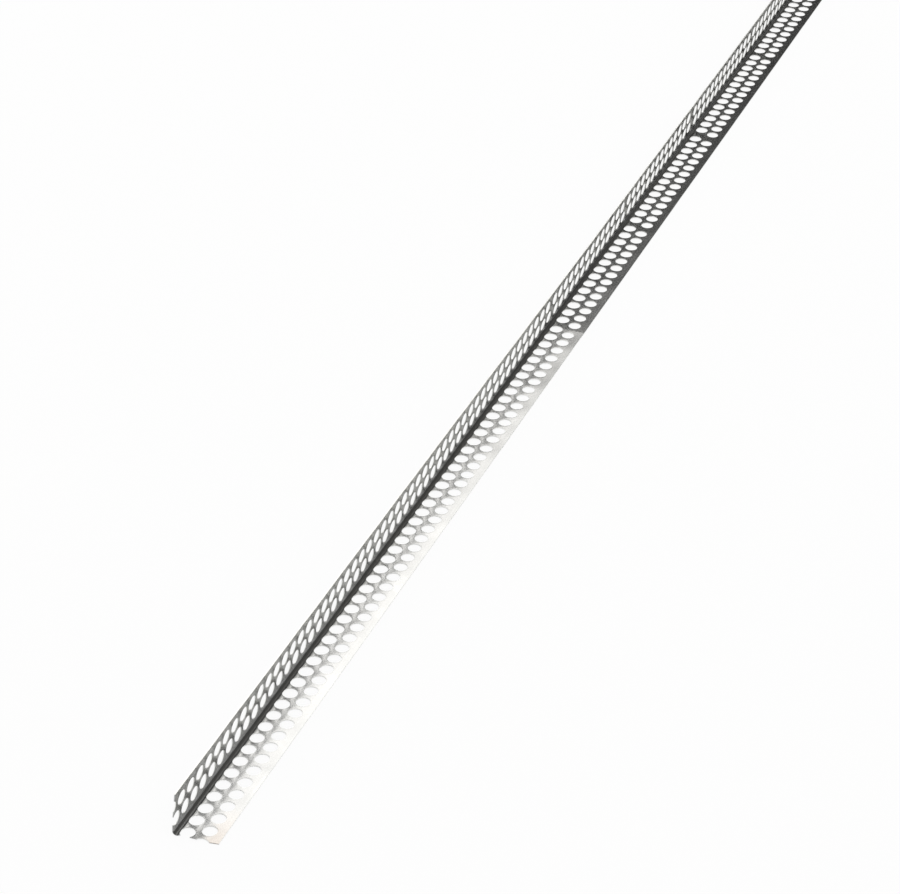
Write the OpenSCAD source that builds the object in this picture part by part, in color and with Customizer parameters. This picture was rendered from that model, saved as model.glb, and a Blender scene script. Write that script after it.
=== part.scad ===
// Drywall corner bead: one length of perforated sheet, rolled to two flanges and a round nose.
// It lies as it rests on a level floor, on the nose and on the free edge of the flat flange.
// X runs across the flat flange, Y runs along the bead from the near end at -Y, and Z is up.

/* [Sheet] */
// length of the piece of stock
bead_length = 2000; // [400:1:3000]
// thickness of the sheet
sheet_thickness = 0.5; // [0.3:0.05:0.8]
// width of the flat flange, from the inner corner line to its free edge
flat_flange_width = 23.8; // [22:0.1:40]
// width of the standing flange, from the inner corner line to its free edge
standing_flange_width = 24.7; // [22:0.1:40]
// angle between the inner faces of the two flanges, in degrees
flange_angle = 84.1; // [75:0.1:95]

/* [Nose] */
// inner radius of the rolled nose
nose_radius = 1.65; // [1:0.05:2.5]
// height up the standing flange at which the nose begins
nose_start = 1.1; // [0.4:0.05:1.5]

/* [Holes] */
// diameter of every hole
hole_diameter = 7.7; // [3:0.1:8.4]
// distance of each outer row from the flange's free edge
edge_to_outer_row = 8; // [5:0.1:8]
// distance between the two rows of a flange
row_spacing = 9.5; // [9:0.1:10]
// pitch of the holes along a row
hole_pitch = 10; // [9:0.1:20]
// place of the first whole hole of an outer row, from the near end
first_hole = 8; // [4:0.1:9.5]

/* [Press strokes] */
// holes in each row that one stroke of the press makes
stroke_holes = 14; // [6:1:40]
// whole holes of a row before the first stroke ends
first_stroke = 10; // [1:1:14]
// extra feed after the first strokes, in order from the near end
early_slips = [0, 0.4, 0.8, 2.5, 2.9, 4.7, 2.4]; // [0:0.1:6]
// extra feed after each later stroke
later_slip = 2.5; // [0:0.1:6]

/* [Hidden] */

$fn = 48;
bare_metal = [0.72, 0.73, 0.72];

// how far a cutter passes the inner face of the sheet
cutter_overrun = 0.2;
hole_radius = hole_diameter / 2;
hole_count = ceil((bead_length - first_hole) / hole_pitch) + 1;

// section, with the inner corner line at the origin and the flat flange's inner face along X
up_flange = [cos(flange_angle), sin(flange_angle)];
into_corner = [sin(flange_angle), -cos(flange_angle)];
nose_outer_radius = nose_radius + sheet_thickness;
nose_centre = nose_start * up_flange + nose_radius * into_corner;
nose_reach = 4 * nose_outer_radius;

// rest on the floor: the line under the flat flange's edge and the nose is turned level
resting_edge = [flat_flange_width, -sheet_thickness];
edge_to_nose = nose_centre - resting_edge;
nose_droop = asin(nose_outer_radius / norm(edge_to_nose));
rest_tilt = nose_droop - atan2(edge_to_nose.y, -edge_to_nose.x);
standing_edge = standing_flange_width * up_flange - sheet_thickness * into_corner;
left_end = min(tilted(nose_centre).x - nose_outer_radius, tilted(standing_edge).x);
right_end = tilted([flat_flange_width, 0]).x;
rest_place = [-(left_end + right_end) / 2, 0, -tilted(resting_edge).y];

// a point of the section after the turn to the resting pose
function tilted(p) = [
    p.x * cos(rest_tilt) + p.y * sin(rest_tilt),
    p.y * cos(rest_tilt) - p.x * sin(rest_tilt)
];

// feed slips: the press makes a stroke, then the strip moves on by a little too much
function slip_after(stroke) = stroke < len(early_slips) ? early_slips[stroke] : later_slip;
function slips_before(stroke) = stroke <= 0 ? 0 : slips_before(stroke - 1) + slip_after(stroke - 1);
function stroke_of(hole) = hole < first_stroke ? 0 : 1 + floor((hole - first_stroke) / stroke_holes);
function hole_place(hole) = first_hole + hole * hole_pitch + slips_before(stroke_of(hole));

// ring of the nose, in the standing flange's own frame: X up the flange, Y out of the corner
module nose_ring() {
    translate([nose_start, -nose_radius])
        difference() {
            circle(r = nose_outer_radius);
            circle(r = nose_radius);
        }
}

// the standing flange, with the half of the ring that runs on from its lower end
module standing_flange_section() {
    rotate(flange_angle) {
        translate([nose_start, 0])
            square([standing_flange_width - nose_start, sheet_thickness]);
        intersection() {
            nose_ring();
            translate([nose_start - nose_reach, -nose_reach])
                square([nose_reach, 2 * nose_reach]);
        }
    }
}

// the flat flange, which starts where the ring comes up to its inner face
module flat_flange_section() {
    difference() {
        translate([nose_centre.x, -sheet_thickness])
            square([flat_flange_width - nose_centre.x, sheet_thickness]);
        translate(nose_centre)
            circle(r = nose_radius);
    }
}

// the whole section: the ring's end is trimmed level with the flat flange's inner face
module bead_section() {
    flat_flange_section();
    difference() {
        standing_flange_section();
        translate([nose_centre.x, 0])
            square(nose_reach);
    }
}

// cutters for one row of holes, for a sheet whose inner face is at Z = 0; they pass the nose's wall too
module hole_row(row_distance, row_shift) {
    for (hole = [-1 : hole_count]) {
        place = hole_place(hole) + row_shift;
        if (place < bead_length + hole_radius)
            translate([row_distance, place - bead_length / 2, -nose_reach])
                cylinder(d = hole_diameter, h = nose_reach + cutter_overrun);
    }
}

// cutters for one flange: the inner row is half a pitch out of step with the outer row
module flange_holes(flange_width) {
    hole_row(flange_width - edge_to_outer_row - row_spacing, hole_pitch / 2);
    hole_row(flange_width - edge_to_outer_row, 0);
}

module corner_bead() {
    color(bare_metal)
        translate(rest_place)
            rotate([0, rest_tilt, 0])
                difference() {
                    rotate([90, 0, 0])
                        linear_extrude(height = bead_length, center = true)
                            bead_section();
                    flange_holes(flat_flange_width);
                    rotate([0, -flange_angle, 0])
                        mirror([0, 0, 1])
                            flange_holes(standing_flange_width);
                }
}

corner_bead();
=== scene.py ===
"""Drywall corner bead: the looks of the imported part, a camera at the photo's angle and plain studio light."""

import math

import bpy
import numpy as np
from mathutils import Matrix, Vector
from mathutils.geometry import delaunay_2d_cdt


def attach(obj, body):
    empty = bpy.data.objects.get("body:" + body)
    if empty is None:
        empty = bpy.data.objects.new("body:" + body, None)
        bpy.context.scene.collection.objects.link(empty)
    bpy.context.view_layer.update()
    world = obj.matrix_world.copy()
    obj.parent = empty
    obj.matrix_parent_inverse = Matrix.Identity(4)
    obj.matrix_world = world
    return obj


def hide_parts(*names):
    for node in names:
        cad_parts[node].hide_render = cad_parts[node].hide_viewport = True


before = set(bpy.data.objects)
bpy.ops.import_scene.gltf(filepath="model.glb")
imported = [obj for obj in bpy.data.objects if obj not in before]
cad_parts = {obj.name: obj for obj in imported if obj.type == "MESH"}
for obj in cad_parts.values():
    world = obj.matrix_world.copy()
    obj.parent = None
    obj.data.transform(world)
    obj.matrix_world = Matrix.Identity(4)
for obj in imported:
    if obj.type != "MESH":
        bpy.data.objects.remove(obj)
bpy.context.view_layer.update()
scene = bpy.context.scene
scene.view_settings.view_transform = "Standard"

# Sizes of the part, in millimetres, the same as in its source
LENGTH = 2000.0
THICKNESS = 0.5
FLAT_WIDTH = 23.8
STANDING_WIDTH = 24.7
ANGLE = math.radians(84.1)
NOSE_RADIUS = 1.65
NOSE_START = 1.1
HOLE_RADIUS = 3.85
EDGE_TO_ROW = 8.0
ROW_SPACING = 9.5
PITCH = 10.0
FIRST_HOLE = 8.0
STROKE_HOLES = 14
FIRST_STROKE = 10
EARLY_SLIPS = [0, 0.4, 0.8, 2.5, 2.9, 4.7, 2.4]
LATER_SLIP = 2.5

# Details that only the looks have, in millimetres. Places along the strip, y, are from the middle. Places
# across it, q, are from the inner corner line, and those of the standing flange are below zero.
NEAR_END = -LENGTH / 2
# The rims of the holes are turned a little, less so at the lip of the nose
RIM_WIDTH = 0.8
RIM_LIFT = -0.015
RIM_RAMP = 1.5
# Slow waves of the sheet: height, length, slant and start, then where across they begin and over what width
WAVES = ((0.05, 71.0, 0.4, 0.0), (0.03, 43.0, -0.7, 1.3), (0.02, 27.0, 0.2, 2.9))
WAVE_START = 4.0
WAVE_RAMP = 6.0
# The flat flange turns a little where the fourth stroke of the press ended, and goes on turning for a stretch
KINK_PLACE = -474.5
KINK_SLOPE = 0.026
KINK_GROWTH = 0.007
KINK_STRETCH = 110.0
# The flat flange falls a little toward its free edge along a stretch by the near end
BOW_SLOPE = 0.05
BOW_PLACE = -935.0
BOW_REACH = 75.0
BOW_START = 8.0
BOW_RAMP = 5.0
# The foot of the standing flange bends a little toward the nose, more so at the near end
FOOT_HEIGHT = 10.5
FOOT_TURN_NEAR = math.radians(31)
FOOT_TURN_FAR = math.radians(18)
FOOT_FAR = -100.0
# The strip above the standing flange's outer row is curled in a little
CURL_START = 20.5
CURL_WIDTH = 3.5
CURL_TURN = math.radians(-6)
# The flat flange's inner row is a little out of its place, and its holes are a little wide, more so after the
# first stroke
ROW_ACROSS = 0.27
ROW_ACROSS_FIRST = 0.12
ROW_ALONG = -0.8
ROW_START = 45.0
ROW_WIDENING = 0.28
ROW_WIDENING_FIRST = 0.06
# The standing flange's rows lie a little low, and their holes are a little wide
STANDING_DOWN = 0.12
STANDING_WIDENING = 0.06
# The standing flange leans in a little along one stretch, and its edge is trimmed short by a cut that wanders
LEAN = 0.5
LEAN_PLACE = -415.0
LEAN_REACH = 130.0
LEAN_START = 1.0
LEAN_RAMP = 6.0
TRIM = 0.35
TRIM_START = 21.4
TRIM_PLACES = [-1000.0, -240.0, 60.0]
TRIM_DEPTHS = [0.0, 1.1, 0.1]
# The flat flange's free edge wanders out a little on the way to the kink
WANDER = 0.25
WANDER_START = 20.5
# The strip is a little twisted: the flat flange lies to the right at the near end and to the left farther on
DRIFT = 0.4
DRIFT_END = 0.0
DRIFT_START = -7.0
DRIFT_RAMP = 6.0
# The flat flange's free edge is rolled over a little as far as the kink
EDGE_ROLL = 0.8
# The shears left the near corner of the flat flange a little short, and lifted the middle of that end
CORNER_SHORT = 1.2
CORNER_START = 17.5
CORNER_RAMP = 5.0
END_LIFT = 0.4
END_SLOPE = 0.145
END_STEEPNESS = 2.2
END_REACH = 10.0
END_MIDDLE = 12.0
END_WIDTH = 4.0

# Fineness of the mesh: points along, points round the nose and up to its lip, and sides of a hole, in the
# stretch that the photo shows and past it
ALONG_POINTS = 201
RING_POINTS = 11
LIP_SHARES = (0.35, 0.6, 0.8, 1.0)
NEAR_SEGMENTS = 28
FAR_SEGMENTS = 18
SHOWN_TO = 150.0
# Allowances, in millimetres, and twice the least area of a triangle that is kept
TINY = 1e-6
JOIN = 1e-5
ON_EDGE = 1e-4
OFF_END = 1e-3
ON_HOLE = 0.06
LEAST_AREA = 1e-7

# Section, with the inner corner line at the origin and the flat flange's inner face along X
UP = np.array([math.cos(ANGLE), math.sin(ANGLE)])
INTO = np.array([math.sin(ANGLE), -math.cos(ANGLE)])
OUTER_RADIUS = NOSE_RADIUS + THICKNESS
NOSE = NOSE_START * UP + NOSE_RADIUS * INTO
LIP = NOSE[0] + math.sqrt(NOSE_RADIUS**2 - NOSE[1] ** 2)
CREASE = NOSE[0] + math.sqrt(OUTER_RADIUS**2 - (NOSE[1] + THICKNESS) ** 2)
RING_START = math.atan2(-INTO[1], -INTO[0])
RING_BOTTOM = 1.5 * math.pi

# Rest on the floor, as in the source: the line under the flat flange's edge and the nose is level
EDGE = np.array([FLAT_WIDTH, -THICKNESS])
TO_NOSE = NOSE - EDGE
TILT = math.asin(OUTER_RADIUS / np.linalg.norm(TO_NOSE)) - math.atan2(TO_NOSE[1], -TO_NOSE[0])
TURN = np.array([[math.cos(TILT), math.sin(TILT)], [-math.sin(TILT), math.cos(TILT)]])
TOP_EDGE = TURN @ (STANDING_WIDTH * UP - THICKNESS * INTO)
LEFT = min((TURN @ NOSE)[0] - OUTER_RADIUS, TOP_EDGE[0])
RIGHT = (TURN @ np.array([FLAT_WIDTH, 0.0]))[0]
PLACE = np.array([-(LEFT + RIGHT) / 2, -(TURN @ EDGE)[1]])
# Millimetres in a metre
MILLIMETRES = 1000

# Looks of the metal, by place in the part's frame, in metres
GRAIN_SCALE = (1600, 9, 1600)
GRAIN_DETAIL = 3.0
GRAIN_STRENGTH = 0.05
GRAIN_HEIGHT = 0.0001
ANISOTROPY = 0.3
SMUDGE_SCALE = 55.0
SMUDGE_DETAIL = 4.0
NOISE_RANGE = (0.3, 0.7)
DARK_METAL = (0.443, 0.445, 0.446, 1)
LIGHT_METAL = (0.528, 0.53, 0.531, 1)
EDGE_TINT = (0.69, 0.69, 0.655, 1)
ROUGHNESS = (0.19, 0.23)
# A faint painted warm reflection at the near corner of the flat flange
WARM_REFLECTION_ALONG = (-1.0, -0.97)
WARM_REFLECTION_ACROSS = (0.002, 0.008)
WARM_REFLECTION_TINT = (1.0, 0.925, 0.865, 1)
# Painted sheen on the standing flange: its colour is brightened on its middle as far as the kink, and on its
# top strip, standing in for brighter reflections
STANDING_SIDE = (-0.0085, -0.008)
PAINTED_SHEEN_FROM = (-1.02, -0.96)
PAINTED_SHEEN_TO = (-0.75, -0.5)
PAINTED_SHEEN_BOTTOM = (0.0045, 0.007)
PAINTED_SHEEN_TOP = (0.0185, 0.0205)
PAINTED_SHEEN_TINT = (1.27, 1.27, 1.26, 1)
TOP_SHEEN_STRIP = (0.0205, 0.022)
TOP_SHEEN_TINT = (1.3, 1.3, 1.3, 1)
# Painted shade in the groove of the nose: the colour is darkened where shade falls, by distance from the nose's
# axis, and the roughness is raised there. It reaches less far past the kink. There is less of it on the lip's
# side, most of all at the near end, and a little less farther along.
GROOVE_SHADE = (0.07, 0.069, 0.064, 1)
GROOVE_SHADE_RADIUS = 0.0017
GROOVE_SHADE_REACH_ALONG = (-0.6, -0.45)
GROOVE_SHADE_REACH = (0.0033, 0.0021)
GROOVE_SHADE_HEIGHT = (-0.0007, 0.0003)
GROOVE_SHADE_SIDES = (-0.0004, 0.0003)
GROOVE_SHADE_ON_LEFT = 0.95
GROOVE_SHADE_NEAR_ALONG = (-1.0, -0.94)
GROOVE_SHADE_ON_RIGHT = (0.45, 0.75)
GROOVE_SHADE_FAR_ALONG = (-0.65, -0.1)
GROOVE_SHADE_FAR = (1.0, 0.9)
GROOVE_SHADE_ROUGHNESS = 0.35
# Cut edges and walls of the holes
TEAR_SCALE = 900.0
TEAR_DETAIL = 2.0
DARK_CUT = (0.84, 0.84, 0.82, 1)
LIGHT_CUT = (0.93, 0.93, 0.91, 1)
CUT_ROUGHNESS = (0.35, 0.55)

# Studio, in metres
WHITE = (1, 1, 1, 1)
FLOOR_HALF = 9
FLOOR_COLOUR = (0.78, 0.78, 0.78, 1)
FLOOR_ROUGHNESS = 0.9
FLOOR_WHITE_SHARE = 0.9
CARD_CORNERS = [(-4, 2.6, 0), (2.5, 2.6, 0), (2.5, 2.6, 4), (-4, 2.6, 4)]
CARD_SHADE = 0.07
SOFTBOX_PLACE = (-1.0, 2.5, 2.95)
SOFTBOX_TARGET = (-1.0, 0, 2.95)
SOFTBOX_SIZE = (4.0, 2.0)
SOFTBOX_RADIANCE = 2.2
SOFTBOX_COLOUR = (1.0, 0.986, 0.955)
CAMERA_PLACE = (0.529363, -1.961053, 0.901791)
CAMERA_TURN = (57.976, 0.8507, 21.7147)
CAMERA_LENS = 116.759
CAMERA_SENSOR = 36
CAMERA_NEAREST = 0.01


def hole_places():
    """Places of the outer rows' holes along the bead, from the middle."""
    places = []
    slip = 0.0
    stroke = 0
    hole = -1
    while True:
        now = 0 if hole < FIRST_STROKE else 1 + (hole - FIRST_STROKE) // STROKE_HOLES
        while stroke < now:
            slip += EARLY_SLIPS[stroke] if stroke < len(EARLY_SLIPS) else LATER_SLIP
            stroke += 1
        place = FIRST_HOLE + hole * PITCH + slip
        if place > LENGTH + 2 * PITCH:
            break
        places.append(place - LENGTH / 2)
        hole += 1
    return np.array(places)


OUTER_PLACES = hole_places()
INNER_PLACES = OUTER_PLACES + PITCH / 2
FLAT_INNER_PLACES = INNER_PLACES + ROW_ALONG * np.clip((OUTER_PLACES - NEAR_END) / ROW_START, 0, 1)
# The list begins with the notch, one hole before the first whole one
FIRST_PLACES = FLAT_INNER_PLACES[:FIRST_STROKE + 1]
LATER_PLACES = FLAT_INNER_PLACES[FIRST_STROKE + 1:]
FLAT_OUTER_ROW = FLAT_WIDTH - EDGE_TO_ROW
FLAT_INNER_ROW = FLAT_WIDTH - EDGE_TO_ROW - ROW_SPACING
STANDING_OUTER_ROW = STANDING_DOWN - (STANDING_WIDTH - EDGE_TO_ROW)
STANDING_INNER_ROW = STANDING_DOWN - (STANDING_WIDTH - EDGE_TO_ROW - ROW_SPACING)
# Rows of holes: place across the strip, places along it and radius
ROWS = [
    (STANDING_OUTER_ROW, OUTER_PLACES, HOLE_RADIUS + STANDING_WIDENING),
    (STANDING_INNER_ROW, INNER_PLACES, HOLE_RADIUS + STANDING_WIDENING),
    (FLAT_INNER_ROW + ROW_ACROSS_FIRST, FIRST_PLACES, HOLE_RADIUS + ROW_WIDENING_FIRST),
    (FLAT_INNER_ROW + ROW_ACROSS, LATER_PLACES, HOLE_RADIUS + ROW_WIDENING),
    (FLAT_OUTER_ROW, OUTER_PLACES, HOLE_RADIUS),
]


def ramp(value, start, width):
    """0 up to a start, 1 from a width past it on, and even between."""
    return np.clip((value - start) / width, 0, 1)


def hill(value, middle, width):
    """1 at a middle, with a smooth fall to 0 on both sides."""
    return np.exp(-(((value - middle) / width) ** 2))


def segments_at(along):
    """How many sides a hole has, by its place along."""
    return np.where(np.asarray(along) < SHOWN_TO, NEAR_SEGMENTS, FAR_SEGMENTS)


def from_hole(points, row, places):
    """How far points are from the nearest hole of a row, across and along, and that hole's place along."""
    nearest = places[np.abs(points[:, 1][:, None] - places[None, :]).argmin(1)]
    return points[:, 0] - row, points[:, 1] - nearest, nearest


def strip_net():
    """Triangles of the strip laid flat, across from the standing flange's edge to the flat one's."""
    points = []
    edges = []

    def add_line(path):
        first = len(points)
        points.extend(path)
        edges.extend((first + i, first + i + 1) for i in range(len(path) - 1))

    half = LENGTH / 2
    along = np.linspace(-half, half, ALONG_POINTS)
    across = [TRIM - STANDING_WIDTH]
    across += list(np.linspace(-NOSE_START, NOSE[0], RING_POINTS))
    across += [NOSE[0] + (LIP - NOSE[0]) * share for share in LIP_SHARES]
    across += [CREASE, FLAT_WIDTH]
    for q in across:
        add_line([(q, y) for y in along])
    for y in (-half, half):
        add_line([(q, y) for q in across])
    add_line([(LIP, KINK_PLACE), (FLAT_WIDTH, KINK_PLACE)])
    for row, places, radius in ROWS:
        for place in places:
            if abs(place) > half + radius:
                continue
            count = int(segments_at(place))
            for away in (radius, radius + RIM_WIDTH):
                first = len(points)
                for k in range(count):
                    turn = 2 * math.pi * k / count
                    points.append((row + away * math.cos(turn), place + away * math.sin(turn)))
                edges.extend((first + k, first + (k + 1) % count) for k in range(count))
    made = delaunay_2d_cdt([Vector(p) for p in points], edges, [], 0, JOIN, False)
    flat = np.array([tuple(v) for v in made[0]])
    triangles = np.array([tuple(f) for f in made[2]])

    # Only the triangles on the strip and off the holes are kept, all turned the same way
    middle = flat[triangles].mean(1)
    keep = np.abs(middle[:, 1]) < half
    keep &= (middle[:, 0] > TRIM - STANDING_WIDTH) & (middle[:, 0] < FLAT_WIDTH)
    for row, places, radius in ROWS:
        dx, dy, nearest = from_hole(middle, row, places)
        step = 2 * math.pi / segments_at(nearest)
        off = np.mod(np.arctan2(dy, dx), step) - step / 2
        keep &= np.hypot(dx, dy) * np.cos(off) > radius * np.cos(step / 2) - ON_EDGE
    triangles = triangles[keep]
    a, b, c = (flat[triangles[:, i]] for i in range(3))
    turn = (b[:, 0] - a[:, 0]) * (c[:, 1] - a[:, 1]) - (b[:, 1] - a[:, 1]) * (c[:, 0] - a[:, 0])
    triangles = triangles[np.abs(turn) > LEAST_AREA]
    turn = turn[np.abs(turn) > LEAST_AREA]
    triangles[turn < 0] = triangles[turn < 0][:, ::-1]
    used, back = np.unique(triangles, return_inverse=True)
    return flat[used], back.reshape(-1, 3)


def section(q, flat_side):
    """Inner and outer points and inner normal across the strip; flat_side picks a side of the lip."""
    q = np.asarray(q, float)
    inner = np.zeros((len(q), 2))
    outer = np.zeros((len(q), 2))
    normal = np.zeros((len(q), 2))
    stand = q <= -NOSE_START
    inner[stand] = -q[stand, None] * UP
    outer[stand] = inner[stand] - THICKNESS * INTO
    normal[stand] = INTO
    left = (q > -NOSE_START) & (q <= NOSE[0])
    share = (q[left] + NOSE_START) / (NOSE[0] + NOSE_START)
    turn = RING_START + share * (RING_BOTTOM - RING_START)
    spoke = np.stack([np.cos(turn), np.sin(turn)], 1)
    inner[left] = NOSE + NOSE_RADIUS * spoke
    outer[left] = NOSE + OUTER_RADIUS * spoke
    normal[left] = -spoke
    right = q > NOSE[0]
    x = q[right]
    reach = x - NOSE[0]
    ring_in = NOSE[1] - np.sqrt(np.maximum(NOSE_RADIUS**2 - reach**2, 0))
    ring_out = NOSE[1] - np.sqrt(np.maximum(OUTER_RADIUS**2 - reach**2, 0))
    inner[right] = np.stack([x, np.where(x < LIP, ring_in, 0.0)], 1)
    outer[right] = np.stack([x, np.where(x < CREASE, ring_out, -THICKNESS)], 1)
    normal[right] = (0.0, 1.0)
    ring = right & ~np.asarray(flat_side)
    normal[ring] = NOSE - inner[ring]
    normal /= np.linalg.norm(normal, axis=1)[:, None]
    return inner, outer, normal


def foot_turned(q, y, normal):
    """Inner normals of the section, turned up at the standing flange's foot and down at its free edge."""
    share = ramp(q, -FOOT_HEIGHT, FOOT_HEIGHT - NOSE_START)
    far = ramp(y, NEAR_END, FOOT_FAR - NEAR_END)
    least = (FOOT_TURN_NEAR + (FOOT_TURN_FAR - FOOT_TURN_NEAR) * far) * share
    now = np.arctan2(normal[:, 1], normal[:, 0]) - math.atan2(INTO[1], INTO[0])
    turn = np.where(q < LIP, np.maximum(least - now, 0), 0)
    turn += CURL_TURN * ramp(-q, CURL_START, CURL_WIDTH)
    return np.stack([
        normal[:, 0] * np.cos(turn) - normal[:, 1] * np.sin(turn),
        normal[:, 0] * np.sin(turn) + normal[:, 1] * np.cos(turn),
    ], 1)


def rim_lift(flat):
    """Height of the turned rims and of the sheet's waves, with the slopes across and along."""
    q, y = flat[:, 0], flat[:, 1]
    lift = np.zeros(len(flat))
    slope = np.zeros((len(flat), 2))
    for row, places, radius in ROWS:
        dx, dy, _ = from_hole(flat, row, places)
        away = np.maximum(np.hypot(dx, dy), TINY)
        share = np.clip((radius + RIM_WIDTH - away) / RIM_WIDTH, 0, 1)
        share *= ramp(q, LIP, RIM_RAMP) if row > 0 else 1.0
        lift += RIM_LIFT * share**2
        steep = -2 * RIM_LIFT * share / RIM_WIDTH
        slope += steep[:, None] * np.stack([dx / away, dy / away], 1)
    flatness = ramp(np.abs(q), WAVE_START, WAVE_RAMP)
    for height, length, slant, start in WAVES:
        turn_along = 2 * math.pi / length
        turn_across = turn_along * slant
        wave = turn_along * y + turn_across * q + start
        lift += height * flatness * np.sin(wave)
        slope += (height * flatness * np.cos(wave))[:, None] * np.array([turn_across, turn_along])
    return lift, slope


def to_part(points, y):
    """Section points, in millimetres, to the part's frame, in metres."""
    turned = points @ TURN.T + PLACE
    return np.stack([turned[:, 0], y, turned[:, 1]], 1) / MILLIMETRES


def drift(q, y):
    """How far the twist and the lean move a point of the strip across."""
    share = ramp(y, NEAR_END, DRIFT_END - NEAR_END)
    twist = DRIFT * (1 - 2 * share) * ramp(q, DRIFT_START, DRIFT_RAMP)
    lean = LEAN * hill(y, LEAN_PLACE, LEAN_REACH)
    return twist + lean * ramp(-q, LEAN_START, LEAN_RAMP)


def end_share(y):
    """1 at the near end, and 0 from the reach of its bend on."""
    return np.clip(1 - (y - NEAR_END) / END_REACH, 0, 1)


def end_bend(q, y):
    """Lift of the near end's middle at a point of the flat flange, and its slope along."""
    share = end_share(y)
    middle = hill(q, END_MIDDLE, END_WIDTH)
    return END_LIFT * middle * share**2, -END_SLOPE * middle * np.minimum(END_STEEPNESS * share, 1)


def trimmed(q, y):
    """Places across, with the standing flange's free edge moved in and the flat one's moved out."""
    standing = ramp(-q, TRIM_START, STANDING_WIDTH - TRIM - TRIM_START)
    flat = ramp(q, WANDER_START, FLAT_WIDTH - WANDER_START)
    wander = np.interp(y, [NEAR_END, KINK_PLACE], [0, WANDER])
    return q + standing * np.interp(y, TRIM_PLACES, TRIM_DEPTHS) + flat * wander


def shortened(q, y):
    """Places along, with the near corner of the flat flange cut short."""
    return y + CORNER_SHORT * end_share(y) * ramp(q, CORNER_START, CORNER_RAMP)


def rim_edges(triangles, count):
    """Edges that only one triangle has."""
    sides = np.concatenate([triangles[:, [0, 1]], triangles[:, [1, 2]], triangles[:, [2, 0]]])
    key = np.sort(sides, 1)
    key = key[:, 0].astype(np.int64) * count + key[:, 1]
    _, place, times = np.unique(key, return_index=True, return_counts=True)
    return sides[place[times == 1]]


def face_normals(flat, slope, triangles, crease, sign):
    """Normals at the corners of one face's triangles, with the bends that are made by normals alone."""
    corner_q = flat[:, 0][triangles]
    corner_y = flat[:, 1][triangles]
    corner_slope = slope[triangles]
    q_middle = corner_q.mean(1)
    past = (corner_y - KINK_PLACE) / KINK_STRETCH
    kink = KINK_SLOPE + KINK_GROWTH * np.clip(past, 0, 1)
    after = (q_middle > LIP) & (past.mean(1) > 0)
    corner_slope[after, :, 1] -= kink[after]
    bow = hill(corner_y, BOW_PLACE, BOW_REACH) * ramp(corner_q, BOW_START, BOW_RAMP)
    corner_slope[:, :, 0] -= BOW_SLOPE * bow
    result = np.zeros((len(triangles), 3, 3))
    for i in range(3):
        _, _, n = section(corner_q[:, i], q_middle > crease)
        if sign > 0:
            n = foot_turned(corner_q[:, i], corner_y[:, i], n)
        along_q = np.stack([n[:, 1], -n[:, 0]], 1)
        bent = n - corner_slope[:, i, :1] * along_q
        turned = bent @ TURN.T
        result[:, i] = np.stack([turned[:, 0], -corner_slope[:, i, 1], turned[:, 1]], 1)
    result /= np.linalg.norm(result, axis=2)[:, :, None]
    return sign * result


def wall_normals(flat, rim, points, rolled):
    """Normals at the corners of the walls: round on the holes, turned up where the free edge is rolled."""
    ends = np.stack([rim[:, 1], rim[:, 0], rim[:, 0], rim[:, 1]], 1)
    start = points[rim[:, 1]]
    wall = np.cross(points[rim[:, 0]] - start, points[rim[:, 0] + len(flat)] - start)
    wall /= np.linalg.norm(wall, axis=1)[:, None]
    wall = np.repeat(wall[:, None], 4, 1)
    wall[rolled, :, 2] += EDGE_ROLL
    wall /= np.linalg.norm(wall, axis=2)[:, :, None]
    middle = flat[rim].mean(1)
    off_ends = np.abs(np.abs(middle[:, 1]) - LENGTH / 2) > OFF_END
    for row, places, radius in ROWS:
        for i in range(4):
            corner = flat[ends[:, i]]
            dx, dy, _ = from_hole(corner, row, places)
            away = np.hypot(dx, dy)
            on_hole = (np.abs(away - radius) < ON_HOLE) & (np.abs(middle[:, 0] - row) < radius) & off_ends
            if not on_hole.any():
                continue
            _, _, n = section(corner[:, 0], corner[:, 0] > LIP - TINY)
            along_q = np.stack([n[:, 1], -n[:, 0]], 1) @ TURN.T
            inward = np.stack([-dx * along_q[:, 0], -dy, -dx * along_q[:, 1]], 1) / away[:, None]
            wall[on_hole, i] = inward[on_hole]
    return wall


def bead_mesh():
    """The sheet: its inner face, its outer face and the walls between them."""
    flat, triangles = strip_net()
    q, y = flat[:, 0], flat[:, 1]
    lift, slope = rim_lift(flat)
    end_lift, end_slope = end_bend(q, y)
    lift += end_lift
    slope[:, 1] += end_slope
    inner, outer, normal = section(trimmed(q, y), q > LIP - TINY)
    moved = lift[:, None] * normal
    moved[:, 0] += drift(q, y)
    along = shortened(q, y)
    points = np.concatenate([to_part(inner + moved, along), to_part(outer + moved, along)])

    count = len(flat)
    rim = rim_edges(triangles, count)
    faces = [tuple(t) for t in triangles]
    faces += [tuple(t[::-1] + count) for t in triangles]
    faces += [(b, a, a + count, b + count) for a, b in rim]
    free_edge = (q[rim] > FLAT_WIDTH - ON_EDGE).all(1)
    rolled = free_edge & (y[rim] < KINK_PLACE).all(1)
    outer_normals = face_normals(flat, slope, triangles, CREASE, -1)
    normals = np.concatenate([
        face_normals(flat, slope, triangles, LIP, 1).reshape(-1, 3),
        outer_normals[:, ::-1].reshape(-1, 3),
        wall_normals(flat, rim, points, rolled).reshape(-1, 3),
    ])
    mesh = bpy.data.meshes.new("bead_sheet")
    mesh.from_pydata([tuple(p) for p in points], [], faces)
    mesh.update()
    mesh.shade_smooth()
    mesh.normals_split_custom_set([tuple(n) for n in normals])

    # The walls have the cut metal, apart from the free edge past the kink and the near end
    plain_wall = free_edge & ~rolled
    plain_wall |= (y[rim] < NEAR_END + ON_EDGE).all(1)
    cut = np.zeros(len(faces), dtype=np.int32)
    cut[2 * len(triangles):] = ~plain_wall
    mesh.polygons.foreach_set("material_index", cut)
    return mesh


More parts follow.
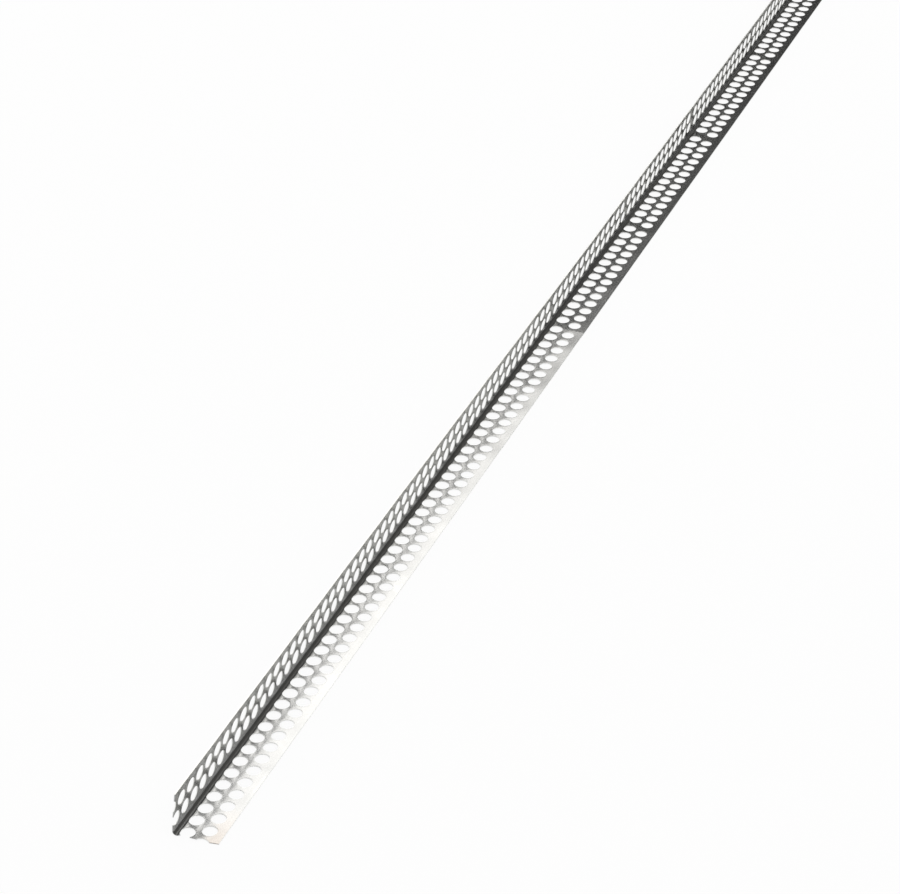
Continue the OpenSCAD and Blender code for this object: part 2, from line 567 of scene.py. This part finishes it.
def set_inputs(tree, node, inputs):
    """Set each input of a node to a value, or link it to a socket."""
    for key, value in inputs.items():
        if isinstance(value, bpy.types.NodeSocket):
            tree.links.new(value, node.inputs[key])
        else:
            node.inputs[key].default_value = value


def make_node(tree, kind, inputs, **settings):
    """A new shader node, with its settings and its inputs."""
    node = tree.nodes.new("ShaderNode" + kind)
    for name, value in settings.items():
        setattr(node, name, value)
    set_inputs(tree, node, inputs)
    return node


def ranged(tree, value, from_range, to_range):
    """A value mapped from one range to another, and held at its ends."""
    node = make_node(tree, "MapRange", {
        "Value": value,
        "From Min": from_range[0],
        "From Max": from_range[1],
        "To Min": to_range[0],
        "To Max": to_range[1],
    })
    return node.outputs["Result"]


def product(tree, *factors):
    """All the factors multiplied together."""
    result = factors[0]
    for factor in factors[1:]:
        result = make_node(tree, "Math", {0: result, 1: factor}, operation="MULTIPLY").outputs[0]
    return result


def mixed(tree, share, colour, other, blend="MIX"):
    """A colour mixed with another, or multiplied by it, in part."""
    inputs = {0: share, 6: colour, 7: other}
    return make_node(tree, "Mix", inputs, data_type="RGBA", blend_type=blend).outputs[2]


def noise(tree, place, scale, detail):
    """Plain noise by place."""
    return make_node(tree, "TexNoise", {"Vector": place, "Scale": scale, "Detail": detail}).outputs["Fac"]


def two_tones(tree, value, dark, light):
    """A colour between two tones, by a noise."""
    node = make_node(tree, "ValToRGB", {"Fac": value})
    for element, position, colour in zip(node.color_ramp.elements, NOISE_RANGE, (dark, light)):
        element.position = position
        element.color = colour
    return node.outputs["Color"]


def new_material(name):
    """A new material, with its tree and its shader."""
    material = bpy.data.materials.new(name)
    material.use_nodes = True
    return material, material.node_tree, material.node_tree.nodes["Principled BSDF"]


def metal_material():
    """Bare rolled metal, with grain and smudges, a painted warm reflection, painted sheen on the standing
    flange and painted shade in the groove.
    """
    material, tree, shader = new_material("bare_rolled_metal")
    place = make_node(tree, "TexCoord", {}).outputs["Object"]
    part = make_node(tree, "SeparateXYZ", {"Vector": place}).outputs
    stretched = make_node(tree, "Mapping", {"Vector": place, "Scale": GRAIN_SCALE}).outputs["Vector"]
    grain = noise(tree, stretched, 1.0, GRAIN_DETAIL)
    colour = two_tones(tree, noise(tree, place, SMUDGE_SCALE, SMUDGE_DETAIL), DARK_METAL, LIGHT_METAL)

    # Painted warm reflection: the colour is tinted warm at the near corner of the flat flange
    warm_reflection = product(
        tree,
        ranged(tree, part["Y"], WARM_REFLECTION_ALONG, (1, 0)),
        ranged(tree, part["X"], WARM_REFLECTION_ACROSS, (0, 1)),
    )
    colour = mixed(tree, warm_reflection, colour, WARM_REFLECTION_TINT, "MULTIPLY")

    # Painted sheen: the standing flange's colour is brightened on its middle as far as the kink and on its top
    # strip, standing in for brighter reflections
    standing = product(
        tree,
        ranged(tree, part["X"], STANDING_SIDE, (1, 0)),
        ranged(tree, part["Y"], PAINTED_SHEEN_FROM, (0, 1)),
    )
    painted_sheen = product(
        tree,
        standing,
        ranged(tree, part["Z"], PAINTED_SHEEN_BOTTOM, (0, 1)),
        ranged(tree, part["Z"], PAINTED_SHEEN_TOP, (1, 0)),
        ranged(tree, part["Y"], PAINTED_SHEEN_TO, (1, 0)),
    )
    colour = mixed(tree, painted_sheen, colour, PAINTED_SHEEN_TINT, "MULTIPLY")
    top_sheen = product(tree, standing, ranged(tree, part["Z"], TOP_SHEEN_STRIP, (0, 1)))
    colour = mixed(tree, top_sheen, colour, TOP_SHEEN_TINT, "MULTIPLY")

    # Painted shade in the groove of the nose: the colour is darkened toward the nose's axis, where shade falls,
    # and the roughness is raised there
    centre = (TURN @ NOSE + PLACE) / MILLIMETRES
    to_centre = {0: place, 1: (centre[0], 0, centre[1])}
    from_axis = make_node(tree, "VectorMath", to_centre, operation="SUBTRACT").outputs["Vector"]
    to_level = {0: from_axis, 1: (1, 0, 1)}
    level = make_node(tree, "VectorMath", to_level, operation="MULTIPLY").outputs["Vector"]
    away = make_node(tree, "VectorMath", {0: level}, operation="LENGTH").outputs["Value"]
    sides = make_node(tree, "SeparateXYZ", {"Vector": from_axis}).outputs
    reach = ranged(tree, part["Y"], GROOVE_SHADE_REACH_ALONG, GROOVE_SHADE_REACH)
    on_right = ranged(tree, part["Y"], GROOVE_SHADE_NEAR_ALONG, GROOVE_SHADE_ON_RIGHT)
    groove_shade = product(
        tree,
        ranged(tree, away, (GROOVE_SHADE_RADIUS, reach), (1, 0)),
        ranged(tree, sides["Z"], GROOVE_SHADE_HEIGHT, (1, 0)),
        ranged(tree, sides["X"], GROOVE_SHADE_SIDES, (GROOVE_SHADE_ON_LEFT, on_right)),
        ranged(tree, part["Y"], GROOVE_SHADE_FAR_ALONG, GROOVE_SHADE_FAR),
    )
    colour = mixed(tree, groove_shade, colour, GROOVE_SHADE)

    gloss = ranged(tree, grain, NOISE_RANGE, ROUGHNESS)
    dulled = {0: groove_shade, 1: GROOVE_SHADE_ROUGHNESS, 2: gloss}
    grooves = {"Height": grain, "Strength": GRAIN_STRENGTH, "Distance": GRAIN_HEIGHT}
    set_inputs(tree, shader, {
        "Base Color": colour,
        "Metallic": 1.0,
        "Roughness": make_node(tree, "Math", dulled, operation="MULTIPLY_ADD").outputs[0],
        "Specular Tint": EDGE_TINT,
        "Anisotropic": ANISOTROPY,
        "Tangent": make_node(tree, "Tangent", {}, direction_type="RADIAL", axis="Y").outputs["Tangent"],
        "Normal": make_node(tree, "Bump", grooves).outputs["Normal"],
    })
    return material


def cut_material():
    """The sheared edges and the walls of the holes: the same metal, brighter where it was cut."""
    material, tree, shader = new_material("cut_metal")
    place = make_node(tree, "TexCoord", {}).outputs["Object"]
    tears = noise(tree, place, TEAR_SCALE, TEAR_DETAIL)
    set_inputs(tree, shader, {
        "Base Color": two_tones(tree, tears, DARK_CUT, LIGHT_CUT),
        "Metallic": 1.0,
        "Roughness": ranged(tree, tears, (0, 1), CUT_ROUGHNESS),
    })
    return material


def make_world():
    """Plain white all round."""
    world = bpy.data.worlds.new("studio")
    scene.world = world
    world.use_nodes = True
    set_inputs(world.node_tree, world.node_tree.nodes["Background"], {"Color": WHITE, "Strength": 1.0})


def make_floor():
    """A pale floor that the camera sees as nearly white, and that keeps the shadow."""
    half = FLOOR_HALF
    mesh = bpy.data.meshes.new("floor")
    corners = [(-half, -half, 0), (half, -half, 0), (half, half, 0), (-half, half, 0)]
    mesh.from_pydata(corners, [], [(0, 1, 2, 3)])
    floor = bpy.data.objects.new("floor", mesh)
    scene.collection.objects.link(floor)
    material, tree, shader = new_material("pale_floor")
    set_inputs(tree, shader, {
        "Base Color": FLOOR_COLOUR,
        "Roughness": FLOOR_ROUGHNESS,
        "Specular IOR Level": 0.0,
    })
    white = make_node(tree, "Emission", {"Color": WHITE, "Strength": 1.0}).outputs[0]
    to_camera = make_node(tree, "LightPath", {}).outputs["Is Camera Ray"]
    share = product(tree, to_camera, FLOOR_WHITE_SHARE)
    mix = make_node(tree, "MixShader", {0: share, 1: shader.outputs[0], 2: white})
    set_inputs(tree, tree.nodes["Material Output"], {"Surface": mix.outputs[0]})
    mesh.materials.append(material)


def make_card(name, corners, shade):
    """A plain card of the studio, which the camera doesn't see."""
    mesh = bpy.data.meshes.new(name)
    mesh.from_pydata(corners, [], [(0, 1, 2, 3)])
    card = bpy.data.objects.new(name, mesh)
    scene.collection.objects.link(card)
    card.visible_camera = False
    card.visible_shadow = False
    card.visible_diffuse = False
    material, tree, shader = new_material(name)
    set_inputs(tree, shader, {
        "Base Color": (shade, shade, shade, 1),
        "Roughness": 1.0,
        "Specular IOR Level": 0.0,
    })
    mesh.materials.append(material)


def make_softbox(name, location, target, size, radiance):
    """A soft rectangular lamp."""
    lamp = bpy.data.lights.new(name, "AREA")
    lamp.shape = "RECTANGLE"
    lamp.size, lamp.size_y = size
    lamp.energy = radiance * math.pi * size[0] * size[1]
    lamp.color = SOFTBOX_COLOUR
    box = bpy.data.objects.new(name, lamp)
    box.location = location
    aim = Vector(target) - Vector(location)
    box.rotation_euler = aim.to_track_quat("-Z", "Y").to_euler()
    scene.collection.objects.link(box)


def make_camera():
    """The camera at the photo's angle."""
    lens = bpy.data.cameras.new("photo_camera")
    lens.sensor_width = CAMERA_SENSOR
    lens.lens = CAMERA_LENS
    lens.clip_start = CAMERA_NEAREST
    camera = bpy.data.objects.new("photo_camera", lens)
    camera.location = CAMERA_PLACE
    camera.rotation_euler = [math.radians(angle) for angle in CAMERA_TURN]
    scene.collection.objects.link(camera)
    scene.camera = camera


make_camera()
make_world()
make_floor()
make_card("back_card", CARD_CORNERS, CARD_SHADE)
make_softbox("back_softbox", SOFTBOX_PLACE, SOFTBOX_TARGET, SOFTBOX_SIZE, SOFTBOX_RADIANCE)

bead = bpy.data.objects.new("bead_sheet", bead_mesh())
scene.collection.objects.link(bead)
bead.data.materials.append(metal_material())
bead.data.materials.append(cut_material())
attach(bead, "root")
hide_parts("corner_bead")
